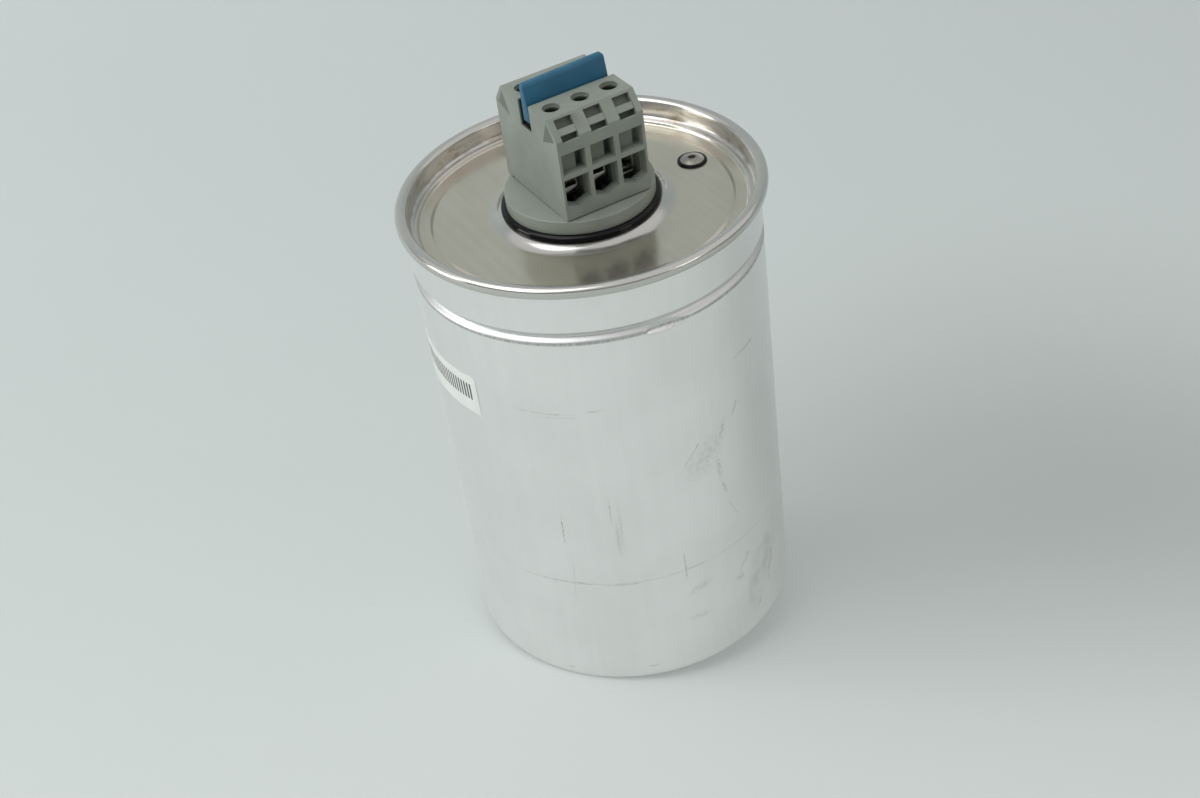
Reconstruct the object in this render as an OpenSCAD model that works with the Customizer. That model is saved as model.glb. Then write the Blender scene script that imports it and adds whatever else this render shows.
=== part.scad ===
// Power factor correction capacitor.
// A round aluminium can with a fixing stud is closed by a seamed lid. The lid carries a grey
// three-pole terminal block with clamps at its front and rear and a blue divider plate in its slot.
// Millimetres. The can's base lies on z = 0, the stud points down, the front cable entries face -Y.

/* [Can] */
// Outer diameter of the can
can_d = 136; // [116:1:180]
// Height from the base to the top of the rim
can_h = 200; // [120:1:300]
// Thickness of the can's wall
can_wall = 0.9; // [0.5:0.1:1.3]
// Radius of the rounded edge round the base
base_edge_r = 3; // [1:0.5:8]

/* [Rolled groove] */
// Distance from the rim's top down to the middle of the groove
groove_drop = 22.7; // [21.5:0.1:40]
// Height of the groove
groove_w = 5.4; // [3:0.2:8]
// Depth of the groove
groove_depth = 1.8; // [0.8:0.1:4]
// How far the can's filling stands above the groove
fill_over = 3.7; // [2:0.1:5]

/* [Fixing stud] */
// Thread diameter of the stud
stud_d = 12; // [8:1:16]
// Length of the stud below the base
stud_len = 16; // [10:1:30]
// Chamfer at the stud's tip
stud_tip = 1.2; // [0.4:0.1:2]

/* [Rim] */
// How far the rim stands out past the can's side
rim_out = 3; // [2:0.1:4]
// Height of the rolled rim
rim_h = 4.6; // [3.6:0.1:6]
// Rounding of the rim's edges
rim_edge_r = 1.9; // [0.6:0.1:2.2]
// Sheet left round the can's flange inside the rim
rim_skin = 1.2; // [0.8:0.1:1.6]
// Gap between the layers of the seam
seam_gap = 0.05; // [0.02:0.01:0.1]

/* [Lid] */
// Thickness of the lid's sheet
lid_t = 0.8; // [0.5:0.1:1.2]
// Depth of the lid's panel below the rim's top
panel_drop = 9; // [8:0.5:12]
// Width of the ledge at the foot of the rim's inner wall
ledge_w = 1.75; // [0.8:0.05:3]
// Height of that ledge
ledge_h = 1.5; // [0.6:0.1:2.5]
// How far the foot of the rim's inner wall leans in
wall_lean = 0.9; // [0.3:0.1:1.5]
// Width of the panel's sunken margin, between the step ring and the ledge
margin_w = 6.2; // [3:0.1:10]
// Depth of the sunken margin
step_h = 0.5; // [0.2:0.1:1]
// Height of the raised collar above the panel
collar_h = 2; // [1:0.1:3]
// Run of the collar's sloping side
collar_run = 3.2; // [1.5:0.1:5]
// Flat left on the collar outside the seal
collar_edge = 0.1; // [0:0.05:1]

/* [Terminal base] */
// Diameter of the round base
base_d = 57.4; // [54:0.2:64]
// Height of the round base
base_h = 8; // [5:0.5:12]
// Chamfer round the base's top edge
base_chamfer = 0.5; // [0.2:0.1:1]
// Width of the base's shoulder round its spigot
spigot_shoulder = 8.7; // [5:0.1:10]
// Length of the spigot below the collar's top
spigot_len = 2.6; // [1.5:0.1:4]
// Gap between the spigot and the lid's hole
spigot_gap = 0.15; // [0.05:0.05:0.3]
// Width of the seal ring round the base
seal_w = 2.15; // [1:0.05:3]
// Height of the seal ring at the base
seal_h = 2.7; // [1.5:0.1:4]
// Height of the seal ring at its outer edge
seal_edge_h = 0.6; // [0.3:0.1:1.2]
// Gap between the seal ring and the base
seal_gap = 0.05; // [0.02:0.01:0.1]

/* [Terminal block] */
// Depth of the block from front to rear
block_d = 46; // [43:0.5:54]
// Wall between neighbouring poles
pole_wall = 1.8; // [1.2:0.1:3]
// Wall outside the outer poles
side_wall = 0.9; // [0.6:0.1:3]
// Depth of the sloping edge at front and rear
slope_run = 5.6; // [4.5:0.1:6.5]
// Height of the sloping edge at front and rear
slope_fall = 7; // [5:0.1:9]
// Height of the shadow gap at the block's foot
foot_h = 0.6; // [0.3:0.1:1]
// Depth of the shadow gap at the block's foot
foot_inset = 1.2; // [0.2:0.1:1.5]
// Distance from the block's front to the start of the side shadow gap
foot_start = 5.5; // [3:0.5:8]
// Distance from the block's rear to the end of the side shadow gap
foot_end = 3.5; // [2:0.5:6]
// Size of the latch notch at the end of the side shadow gap
notch = 1.3; // [0.8:0.1:2]

/* [Cable entries] */
// Width of a cable entry
entry_w = 10.2; // [9:0.1:13]
// Height of the entry's floor above the block's foot, at its sides
entry_floor = 6.9; // [4:0.1:9]
// How much lower the floor is in the middle
entry_vee = 2.1; // [0:0.1:3]
// Depth of the entry's floor
entry_lip = 4.3; // [2:0.1:6]
// Clearance between the contact bar and the entry's top
entry_cover = 0.2; // [0.1:0.1:1]

/* [Upper pockets] */
// Wall between a cable entry and the pocket above it
pocket_web = 2; // [1:0.1:4]
// Height of a pocket
pocket_h = 8.2; // [5:0.1:12]
// How much narrower a pocket is than the entry, on each side
pocket_inset = 0.2; // [0:0.1:2]
// Depth of a pocket
pocket_depth = 3.2; // [2:0.1:5]
// Width of the contact slot at the pocket's end
contact_slot_w = 2.8; // [1:0.1:4]
// Wall between that slot and the clamp's bay
contact_slot_wall = 0.9; // [0.5:0.1:2]

/* [Sloped windows] */
// Wall between a pocket and the well of the window above it
window_web = 2.4; // [1:0.1:4]
// Width of a window
window_w = 7; // [4:0.1:9]
// Depth of a window
window_depth = 2.4; // [1.5:0.1:3]
// Wall left below a window
window_lip = 0.5; // [0.3:0.1:0.8]
// Wall left above a window
window_edge = 1; // [0.6:0.1:2]
// Distance up the slope to the catch bar
catch_at = 1.9; // [1.4:0.1:2.4]
// Width of the catch bar
catch_w = 2.6; // [1.5:0.1:3.5]
// How deep the catch bar lies below the slope
catch_recess = 0.4; // [0.1:0.1:0.8]
// Thickness of the catch bar
catch_t = 1.4; // [0.8:0.1:2]
// Thickness of the front wall before the well
well_wall = 1; // [0.6:0.1:1.6]
// How far that wall's top lies below the slope's lower edge
lip_drop = 1.1; // [0.4:0.1:2]
// Width of the well behind that wall
well_w = 2.4; // [1.5:0.1:4]
// Depth of the well below the slope's lower edge
well_depth = 3.2; // [2:0.1:6]

/* [Clamps] */
// Distance from the block's face to the cages
clamp_setback = 7.6; // [7:0.1:9]
// How much narrower a clamp's bay is than the entry, on each side
bay_shoulder = 0.4; // [0:0.1:1]
// Thickness of the block's floor under the bays
bay_floor = 1.6; // [1:0.1:3]
// Clearance round a cage in its bay
cage_gap = 0.3; // [0.1:0.1:0.5]
// Length of a clamp cage
cage_len = 10; // [8:0.1:11]
// Thickness of a cage's side walls
cage_wall = 1.2; // [0.8:0.1:1.6]
// Thickness of a cage's jaw, its lower bar
jaw_t = 4; // [2.5:0.1:5]
// Bevel on the jaw's lower corners
jaw_bevel = 2.2; // [0.5:0.1:2.4]
// Width of the three ridges across the jaw, which grip the cable
ridge_w = 1.2; // [0.8:0.1:2]
// Depth of the grooves between the ridges
ridge_h = 0.8; // [0.3:0.1:1.2]
// Thickness of a cage's threaded top
cage_top_t = 2.6; // [1.5:0.1:4]
// Clearance over the contact bar in a fully open cage
cage_open_gap = 0.4; // [0.2:0.1:1]
// How far the front left clamp is screwed up
raise_left = 3.5; // [0:0.1:6]
// How far the front middle clamp is screwed up
raise_mid = 4.3; // [0:0.1:6]

/* [Clamp screws] */
// Thread diameter of a clamp screw
screw_d = 5; // [3:0.5:5]
// Gap round the screw in the cage's thread
thread_gap = 0.1; // [0.05:0.05:0.2]
// Distance from the highest cage to the screws' heads
head_clear = 2.9; // [1:0.1:4]
// Diameter of a screw's head
head_d = 5.6; // [5.2:0.1:7]
// Height of a screw's head
head_h = 2.8; // [2:0.1:4]
// Gap round a screw's head in its hole
head_gap = 0.2; // [0.1:0.05:0.5]
// Width of the driver slot in a screw's head
drive_w = 1; // [0.6:0.1:1.4]
// Depth of the driver slot
drive_depth = 1.4; // [0.6:0.1:1.8]
// Width of the step round the screw hole's mouth
mouth_step = 0.4; // [0.1:0.1:1]
// Depth of that step
mouth_depth = 1.2; // [0.5:0.1:3]

/* [Contact bars] */
// Height of a bar's underside above the block's foot
bar_floor = 15; // [13:0.1:18]
// Thickness of a contact bar
bar_t = 2; // [1:0.1:3]
// Gap between a bar and the side walls of its cages
bar_side_gap = 0.2; // [0.1:0.05:0.5]
// How far a bar reaches past its cages
bar_reach = 0.9; // [0.2:0.1:2]
// Gap round a bar in the block
bar_gap = 0.1; // [0.05:0.05:0.2]
// Diameter of a feed-through post
post_d = 4.4; // [3:0.2:5]
// Gap round a post
post_gap = 0.1; // [0.05:0.05:0.2]
// Height of a post's foot above the can's filling
post_clear = 3; // [1:0.5:4]

/* [Divider plate] */
// Width of the slot for the plate
slot_w = 7.8; // [6:0.1:9]
// Depth of that slot
slot_depth = 10.4; // [8:0.1:12]
// Thickness of the plate
plate_t = 4.4; // [2:0.1:5]
// Length of the plate
plate_len = 34.2; // [26:0.2:36]
// Height of the plate above its foot, at its left end
plate_h = 14.6; // [12:0.2:20]
// How much higher the plate is at its right end
plate_rise = 0.9; // [0:0.1:2]
// Radius of the plate's upper corners
plate_corner_r = 1.2; // [0.5:0.1:5]
// Rounding of the plate's front upper edge
plate_edge_r = 1.6; // [0.4:0.1:2]
// Height of the plate's foot
plate_foot_h = 3.2; // [1:0.1:5]
// How far the foot is set in at the plate's ends
plate_foot_inset = 4; // [1:0.5:8]
// Gap between the plate and the slot's front wall
plate_gap = 0.3; // [0.1:0.05:0.5]

/* [Fill rivet] */
// Distance of the rivet from the lid's step ring
rivet_inset = 8.2; // [7:0.1:12]
// Angle of the rivet round the lid
rivet_angle = -1.5; // [-60:0.5:60]
// Diameter of the rivet's head
rivet_head_d = 9.6; // [7:0.2:11]
// Diameter of the flat on top of the head
rivet_top_d = 5.8; // [4.4:0.2:8]
// Height of the rivet's head
rivet_head_h = 1; // [0.6:0.1:3]
// Diameter of the rivet's shank
rivet_shank_d = 4; // [3:0.1:5]
// Diameter of the hole in the rivet's head
rivet_hole_d = 3; // [1:0.1:3.2]
// Depth of the hole in the rivet's head
rivet_hole_depth = 1.6; // [1:0.1:2.4]
// Diameter of the upset end under the lid
rivet_tail_d = 6.4; // [5:0.1:8]
// Thickness of the upset end
rivet_tail_t = 1; // [0.6:0.1:2]
// Outer diameter of the seal washer
washer_d = 11.8; // [9:0.2:14]
// Thickness of the seal washer
washer_t = 0.8; // [0.5:0.1:2.5]
// Gap round the rivet's shank
rivet_gap = 0.1; // [0.05:0.05:0.2]

/* [Hidden] */

$fn = 96;
// Overlap that lets a cut run clear of the face it opens
cut = 1;
// Steps of a quarter arc and of the rolled groove
arc_steps = 10;
groove_steps = 16;

aluminium = "#b9bdbe";
tinplate = "#aaa797";
black_rubber = "#1c1c1d";
grey_plastic = "#8c948f";
blue_plastic = "#23557a";
plated_metal = "#c9cbc9";

// Can and rim
can_r = can_d / 2;
can_inner_r = can_r - can_wall;
stud_r = stud_d / 2;
groove_z = can_h - groove_drop;
fill_z = groove_z + groove_w / 2 + fill_over;
rim_outer_r = can_r + rim_out;
rim_inner_r = can_inner_r - seam_gap - lid_t;
rim_z = can_h - rim_h;
rim_r = min(rim_edge_r, rim_h / 2, (rim_outer_r - rim_inner_r) / 2);
flange_r = rim_outer_r - rim_skin;
flange_top = can_h - rim_skin;
flange_foot = flange_top - can_wall;

// Terminal base and lid
base_r = base_d / 2;
spigot_r = base_r - spigot_shoulder;
collar_r = base_r + seal_gap + seal_w + collar_edge;
ledge_r = rim_inner_r - wall_lean - ledge_w;
step_r = ledge_r - margin_w;
panel_z = can_h - panel_drop;
margin_z = panel_z - step_h;
ledge_z = margin_z + ledge_h;
collar_z = panel_z + collar_h;
seat_z = collar_z + base_h;

// Poles: heights are above the block's foot
pole_pitch = entry_w + pole_wall;
pole_xs = [-pole_pitch, 0, pole_pitch];
block_w = 2 * pole_pitch + entry_w + 2 * side_wall;
bar_top = bar_floor + bar_t;
entry_top = bar_top + entry_cover;
pocket_floor = entry_top + pocket_web;
well_floor = pocket_floor + pocket_h + window_web;
slope_z = well_floor + well_depth;
block_h = slope_z + slope_fall;
slope_len = norm([slope_run, slope_fall]);
slope_angle = atan2(slope_fall, slope_run);

// Clamps
clamp_y = block_d / 2 - clamp_setback - cage_len / 2;
bay_w = entry_w - 2 * bay_shoulder;
bay_len = cage_len + 2 * cage_gap;
cage_w = bay_w - 2 * cage_gap;
cage_low = bay_floor + cage_gap;
cage_opening = bar_top + cage_open_gap - cage_low - jaw_t;
cage_h = jaw_t + cage_opening + cage_top_t;
cage_high = cage_low + cage_h + max(raise_left, raise_mid);
bay_top = cage_high + cage_gap;
shank_len = cage_high + head_clear - bar_top;
screw_hole_d = head_d + 2 * head_gap;
bar_w = cage_w - 2 * (cage_wall + bar_side_gap);
bar_len = 2 * (clamp_y + cage_len / 2 + bar_reach);
post_bore = post_d + 2 * post_gap;

// Points of a circular arc from angle a0 to a1
function arc(centre, r, a0, a1) =
    [for (i = [0:arc_steps]) let (a = a0 + (a1 - a0) * i / arc_steps) centre + r * [cos(a), sin(a)]];

// Shift of point i that keeps a sheet of thickness t on the right of a path
function right_of(v) = [v[1], -v[0]] / norm(v);
function mitre(path, i, t) =
    let (
        last = len(path) - 1,
        before = right_of(i > 0 ? path[i] - path[i - 1] : path[1] - path[0]),
        after = right_of(i < last ? path[i + 1] - path[i] : path[last] - path[last - 1])
    )
    t * (before + after) / (1 + before * after);

// Underside of a sheet of thickness t whose upper side is a path, from its end back to its start
function underside(path, t) = [for (i = [len(path) - 1:-1:0]) path[i] + mitre(path, i, t)];

// Box centred on x = 0 that spans the given y and z
module span_box(w, y, z) {
    translate([-w / 2, y[0], z[0]]) cube([w, y[1] - y[0], z[1] - z[0]]);
}

// Outline in x and z, extruded over the given y
module along_y(y) {
    translate([0, y[1], 0]) rotate([90, 0, 0]) linear_extrude(y[1] - y[0]) children();
}

// Can with its sealed filling, its flange and its stud
function groove_outline() = [
    for (i = [0:groove_steps]) let (t = i / groove_steps)
        [can_r - groove_depth * (1 - cos(360 * t)) / 2, groove_z + groove_w * (t - 0.5)]
];

module can() {
    color(aluminium) {
        rotate_extrude() polygon(concat(
            [[0, fill_z], [0, 0]],
            arc([can_r - base_edge_r, base_edge_r], base_edge_r, -90, 0),
            groove_outline(),
            [[can_r, flange_foot], [flange_r, flange_foot], [flange_r, flange_top]],
            [[can_inner_r, flange_top], [can_inner_r, fill_z]]
        ));
        translate([0, 0, stud_tip - stud_len]) cylinder(r = stud_r, h = stud_len - stud_tip + cut);
        translate([0, 0, -stud_len]) cylinder(r1 = stud_r - stud_tip, r2 = stud_r, h = stud_tip);
    }
}

// Lid with its rim, rolled over the can's flange
function lid_panel() = [
    [spigot_r + spigot_gap, collar_z], [collar_r, collar_z], [collar_r + collar_run, panel_z],
    [step_r, panel_z], [step_r + step_h, margin_z], [ledge_r - ledge_h / 2, margin_z],
    [ledge_r, ledge_z], [rim_inner_r - wall_lean, ledge_z],
    [rim_inner_r, ledge_z + wall_lean], [rim_inner_r, rim_z]
];

function rim_outline() =
    let (
        inner = rim_inner_r + rim_r,
        outer = rim_outer_r - rim_r,
        hook_foot = flange_foot - seam_gap,
        hook_top = flange_top + seam_gap
    )
    concat(
        arc([inner, can_h - rim_r], rim_r, 180, 90),
        arc([outer, can_h - rim_r], rim_r, 90, 0),
        arc([outer, rim_z + rim_r], rim_r, 0, -90),
        [[can_r + seam_gap, rim_z], [can_r + seam_gap, hook_foot], [flange_r + seam_gap, hook_foot]],
        [[flange_r + seam_gap, hook_top], [can_inner_r - seam_gap, hook_top]]
    );

module lid() {
    color(tinplate) difference() {
        rotate_extrude() polygon(concat(lid_panel(), rim_outline(), underside(lid_panel(), lid_t)));
        at_rivet() translate([0, 0, -lid_t - cut])
            cylinder(d = rivet_shank_d + 2 * rivet_gap, h = lid_t + 2 * cut);
    }
}

// Round base on the lid's collar, and its seal
module base_seal() {
    inner = base_r + seal_gap;
    crown = [for (i = [0:arc_steps]) let (a = 90 * i / arc_steps)
        [inner + seal_w * cos(a), collar_z + seal_edge_h + (seal_h - seal_edge_h) * sin(a)]];
    color(black_rubber) rotate_extrude()
        polygon(concat([[inner, collar_z], [inner + seal_w, collar_z]], crown));
}

module terminal_base() {
    color(grey_plastic) difference() {
        union() {
            translate([0, 0, collar_z]) cylinder(r = base_r, h = base_h - base_chamfer);
            translate([0, 0, seat_z - base_chamfer])
                cylinder(r1 = base_r, r2 = base_r - base_chamfer, h = base_chamfer);
            translate([0, 0, collar_z - spigot_len]) cylinder(r = spigot_r, h = spigot_len + cut);
        }
        for (x = pole_xs) translate([x, 0, collar_z - spigot_len - cut])
            cylinder(d = post_bore, h = base_h + spigot_len + 2 * cut);
    }
}

// Terminal block
module block_body() {
    half = block_d / 2;
    rotate([90, 0, 90]) linear_extrude(block_w, center = true) polygon([
        [-half, 0], [half, 0], [half, slope_z], [half - slope_run, block_h],
        [slope_run - half, block_h], [-half, slope_z]
    ]);
}

// Way for one cable, from the block's face to the clamp's bay
module cable_way() {
    face = -block_d / 2;
    bay_end = -clamp_y + bay_len / 2;
    along_y([face - cut, face + entry_lip]) polygon([
        [-entry_w / 2, entry_floor], [0, entry_floor - entry_vee], [entry_w / 2, entry_floor],
        [entry_w / 2, entry_top], [-entry_w / 2, entry_top]
    ]);
    span_box(bay_w, [face + entry_lip, bay_end], [bay_floor, entry_top]);
    span_box(bay_w, [bay_end - bay_len, bay_end], [bay_floor, bay_top]);
}

// Screw hole down to the bay
module screw_way() {
    translate([0, -clamp_y, bay_top - cut]) cylinder(d = screw_hole_d, h = block_h - bay_top + 2 * cut);
    translate([0, -clamp_y, block_h - mouth_depth])
        cylinder(d = screw_hole_d + 2 * mouth_step, h = mouth_depth + cut);
}

// Shallow pocket above the cable entry, with a contact slot at its end
module upper_pocket() {
    face = -block_d / 2;
    pocket_w = entry_w - 2 * pocket_inset;
    slot_end = face + clamp_setback - cage_gap - contact_slot_wall;
    height = [pocket_floor, pocket_floor + pocket_h];
    span_box(pocket_w, [face - cut, face + pocket_depth], height);
    translate([(pocket_w - contact_slot_w) / 2, 0, 0])
        span_box(contact_slot_w, [face - cut, slot_end], height);
}

// Window in the sloping edge, with a catch bar across it and a well behind the low front wall
module sloped_window() {
    face = -block_d / 2;
    well_y = face + well_wall;
    well_end = well_y + well_w;
    lip_z = slope_z - lip_drop;
    over_wall = slope_z + well_wall * slope_fall / slope_run;
    translate([0, face, slope_z]) rotate([slope_angle, 0, 0]) difference() {
        span_box(window_w, [window_lip, slope_len - window_edge], [-window_depth, cut]);
        span_box(window_w + cut, [catch_at, catch_at + catch_w], [-catch_recess - catch_t, -catch_recess]);
    }
    rotate([90, 0, 90]) linear_extrude(window_w, center = true) polygon([
        [face - cut, lip_z], [well_y, lip_z], [well_y, well_floor], [well_end, well_floor],
        [well_end, slope_z], [well_y, over_wall], [face - cut, over_wall]
    ]);
}

// Shadow gap round the block's foot, with a latch notch in the side
module foot_gap() {
    half = block_d / 2;
    side_y = [foot_start - half, half - foot_end];
    span_box(block_w + cut, [-half - cut, foot_inset - half], [-cut, foot_h]);
    translate([(-block_w - cut + foot_inset) / 2, 0, 0]) {
        span_box(cut + foot_inset, side_y, [-cut, foot_h]);
        span_box(cut + foot_inset, [side_y[1] - notch, side_y[1]], [-cut, notch]);
    }
}

module half_cuts() {
    foot_gap();
    for (x = pole_xs) translate([x, 0, 0]) {
        cable_way();
        screw_way();
        upper_pocket();
        sloped_window();
    }
}

module terminal_block() {
    color(grey_plastic) translate([0, 0, seat_z]) difference() {
        block_body();
        half_cuts();
        rotate([0, 0, 180]) half_cuts();
        span_box(block_w + 2 * cut, [-slot_w / 2, slot_w / 2], [block_h - slot_depth, block_h + cut]);
        for (x = pole_xs) translate([x, 0, 0]) {
            span_box(bar_w + 2 * bar_gap, [-clamp_y, clamp_y], [bar_floor - bar_gap, bar_top + bar_gap]);
            translate([0, 0, -cut]) cylinder(d = post_bore, h = bar_floor + cut);
        }
    }
}

// Divider plate, which stands on its foot in the slot and rises to the right
module divider_plate() {
    left = -block_w / 2;
    right = left + plate_len;
    front = -slot_w / 2 + plate_gap;
    floor_z = seat_z + block_h - slot_depth;
    under = floor_z + plate_foot_h;
    r = plate_corner_r;
    tilt = atan2(plate_rise, plate_len);
    depth = plate_h + plate_foot_h + plate_rise + cut;
    // Middle of the rounding at a distance from the plate's left end
    function corner(x) = [left + x, under + plate_h + x * tan(tilt) - r / cos(tilt)];
    color(blue_plastic) intersection() {
        along_y([front, front + plate_t]) polygon(concat(
            [[left, under], [left + plate_foot_inset, under], [left + plate_foot_inset, floor_z]],
            [[right - plate_foot_inset, floor_z], [right - plate_foot_inset, under], [right, under]],
            arc(corner(plate_len - r), r, 0, 90 + tilt),
            arc(corner(r), r, 90 + tilt, 180)
        ));
        // Section with the rounded front edge, along the tilted top
        translate([left, 0, under + plate_h]) rotate([0, -tilt, 0]) rotate([90, 0, 90])
            translate([0, 0, -cut]) linear_extrude(plate_len + 3 * cut) polygon(concat(
                [[front - cut, -depth], [front + plate_t + cut, -depth], [front + plate_t + cut, 0]],
                arc([front + plate_edge_r, -plate_edge_r], plate_edge_r, 90, 180),
                [[front - cut, -plate_edge_r]]
            ));
    }
}

// Fill rivet and its washer
module at_rivet() {
    rotate([0, 0, rivet_angle]) translate([step_r - rivet_inset, 0, panel_z]) children();
}

module rivet_seal() {
    color(black_rubber) at_rivet() difference() {
        cylinder(d = washer_d, h = washer_t);
        translate([0, 0, -cut]) cylinder(d = rivet_shank_d + 2 * rivet_gap, h = washer_t + 2 * cut);
    }
}

module fill_rivet() {
    tail_z = -lid_t - rivet_tail_t;
    color(plated_metal) at_rivet() difference() {
        union() {
            translate([0, 0, washer_t]) cylinder(d1 = rivet_head_d, d2 = rivet_top_d, h = rivet_head_h);
            translate([0, 0, tail_z]) cylinder(d = rivet_shank_d, h = washer_t - tail_z + cut / 2);
            translate([0, 0, tail_z]) cylinder(d = rivet_tail_d, h = rivet_tail_t);
        }
        translate([0, 0, washer_t + rivet_head_h - rivet_hole_depth])
            cylinder(d = rivet_hole_d, h = rivet_hole_depth + cut);
    }
}

// Clamp cage: a ridged jaw below, two side walls and a threaded top
module clamp_cage(x, side, raise) {
    half = cage_w / 2;
    inner_w = cage_w - 2 * cage_wall;
    groove_len = (cage_len - 3 * ridge_w) / 2;
    groove_r = (groove_len * groove_len / 4 + ridge_h * ridge_h) / (2 * ridge_h);
    color(plated_metal) translate([x, side * clamp_y, seat_z + cage_low + raise]) difference() {
        along_y([-cage_len / 2, cage_len / 2]) difference() {
            polygon([
                [jaw_bevel - half, 0], [half - jaw_bevel, 0], [half, jaw_bevel],
                [half, cage_h], [-half, cage_h], [-half, jaw_bevel]
            ]);
            translate([cage_wall - half, jaw_t]) square([inner_w, cage_opening]);
        }
        for (end = [-1, 1])
            translate([0, end * (ridge_w + groove_len) / 2, jaw_t - ridge_h + groove_r]) rotate([0, 90, 0])
                cylinder(r = groove_r, h = inner_w, center = true);
        translate([0, 0, jaw_t + cage_opening - cut])
            cylinder(d = screw_d + 2 * thread_gap, h = cage_top_t + 2 * cut);
    }
}

// Clamp screws, which stand on the contact bars
module clamp_screw() {
    top = shank_len + head_h;
    difference() {
        union() {
            cylinder(d = screw_d, h = shank_len + cut);
            translate([0, 0, shank_len]) cylinder(d = head_d, h = head_h);
        }
        for (turn = [0, 90]) rotate([0, 0, turn])
            span_box(drive_w, [-head_d, head_d], [top - drive_depth, top + cut]);
    }
}

module clamp_screws() {
    color(plated_metal) for (x = pole_xs, side = [-1, 1])
        translate([x, side * clamp_y, seat_z + bar_top]) clamp_screw();
}

// Contact bar of one pole, and the post that leads from it into the can
module contact_bar(x) {
    color(plated_metal) translate([x, 0, seat_z])
        span_box(bar_w, [-bar_len / 2, bar_len / 2], [bar_floor, bar_top]);
}

module feedthrough(x) {
    foot = fill_z + post_clear;
    color(plated_metal) translate([x, 0, foot]) cylinder(d = post_d, h = seat_z + bar_floor - foot);
}

can();
lid();
base_seal();
terminal_base();
terminal_block();
divider_plate();
rivet_seal();
fill_rivet();
clamp_cage(pole_xs[0], -1, raise_left);  // cage_front_left
clamp_cage(pole_xs[1], -1, raise_mid);  // cage_front_mid
clamp_cage(pole_xs[2], -1, 0);  // cage_front_right
clamp_cage(pole_xs[0], 1, 0);  // cage_rear_left
clamp_cage(pole_xs[1], 1, 0);  // cage_rear_mid
clamp_cage(pole_xs[2], 1, 0);  // cage_rear_right
contact_bar(pole_xs[0]);  // contact_bar_left
contact_bar(pole_xs[1]);  // contact_bar_mid
contact_bar(pole_xs[2]);  // contact_bar_right
feedthrough(pole_xs[0]);  // feedthrough_left
feedthrough(pole_xs[1]);  // feedthrough_mid
feedthrough(pole_xs[2]);  // feedthrough_right
clamp_screws();
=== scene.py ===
"""Looks of a power factor correction capacitor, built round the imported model.

The object's lengths are in millimetres here and go into Blender in metres, in the model's own frame.
The room's lengths, other than the eye and the stud's tip, are in metres, and so are bumps and noise scales.
"""
import logging
import math
from dataclasses import dataclass, field
from enum import Enum
from functools import cache, partialmethod, reduce
from typing import Any, Iterable, Sequence

import bmesh
import bpy
from mathutils import Matrix, Vector


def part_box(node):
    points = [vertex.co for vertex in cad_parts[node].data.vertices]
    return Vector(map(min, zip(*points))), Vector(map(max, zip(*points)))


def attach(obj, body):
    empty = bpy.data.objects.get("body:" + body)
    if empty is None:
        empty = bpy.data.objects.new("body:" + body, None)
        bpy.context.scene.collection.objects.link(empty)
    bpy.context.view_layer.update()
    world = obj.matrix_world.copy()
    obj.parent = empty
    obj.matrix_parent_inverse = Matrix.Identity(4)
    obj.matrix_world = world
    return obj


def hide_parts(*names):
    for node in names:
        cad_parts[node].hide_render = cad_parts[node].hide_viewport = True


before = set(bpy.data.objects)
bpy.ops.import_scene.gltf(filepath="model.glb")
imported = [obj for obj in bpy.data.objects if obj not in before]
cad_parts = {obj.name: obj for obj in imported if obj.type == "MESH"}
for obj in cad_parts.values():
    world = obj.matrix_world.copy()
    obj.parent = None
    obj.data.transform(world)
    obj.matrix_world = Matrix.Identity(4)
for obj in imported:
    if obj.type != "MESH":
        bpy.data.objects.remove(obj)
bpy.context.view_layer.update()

Feed = Any
Pair = tuple[float, float]
Triple = tuple[float, float, float]
Rgba = tuple[float, float, float, float]
Tree = bpy.types.NodeTree
Node = bpy.types.Node
Socket = bpy.types.NodeSocket
Material = bpy.types.Material
Object = bpy.types.Object
BMesh = bmesh.types.BMesh

LOG = logging.getLogger("capacitor")
MM = 0.001
BODY = "root"
FLAT_MAP = "flat"
ORIGIN = (0.0, 0.0, 0.0)
WHITE = (1.0, 1.0, 1.0)
FULL = (0.0, 1.0)
FALLING = (1.0, 0.0)
GRAIN_HEIGHT = 0.00002


def srgb(*screen: int) -> Rgba:
    """Turn a screen colour, with channels from 0 to 255, into the linear colour that a socket takes."""
    channels = (channel / 255 for channel in screen)
    return *(c / 12.92 if c <= 0.04045 else ((c + 0.055) / 1.055) ** 2.4 for c in channels), 1.0


def metres(*lengths: float) -> tuple[float, ...]:
    """Return lengths in metres that are given in millimetres."""
    return tuple(length * MM for length in lengths)


def placed(name: str, data: Any, frame_of: Matrix | None = None) -> Object:
    """Put a new object in the scene, at the origin or in a frame of its own."""
    made = bpy.data.objects.new(name, data)
    if frame_of is not None:
        made.matrix_world = frame_of
    bpy.context.scene.collection.objects.link(made)
    return made


class Slot(Enum):
    """Material slots of the record."""

    CAN = "aluminium_can"
    LID = "tinplate_lid"
    RUBBER = "black_rubber"
    GREY = "grey_plastic"
    BLUE = "blue_plastic"
    METAL = "plated_metal"


class Side(Enum):
    """The two faces of the terminal block with cable entries."""

    FRONT = -1
    REAR = 1


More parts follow.
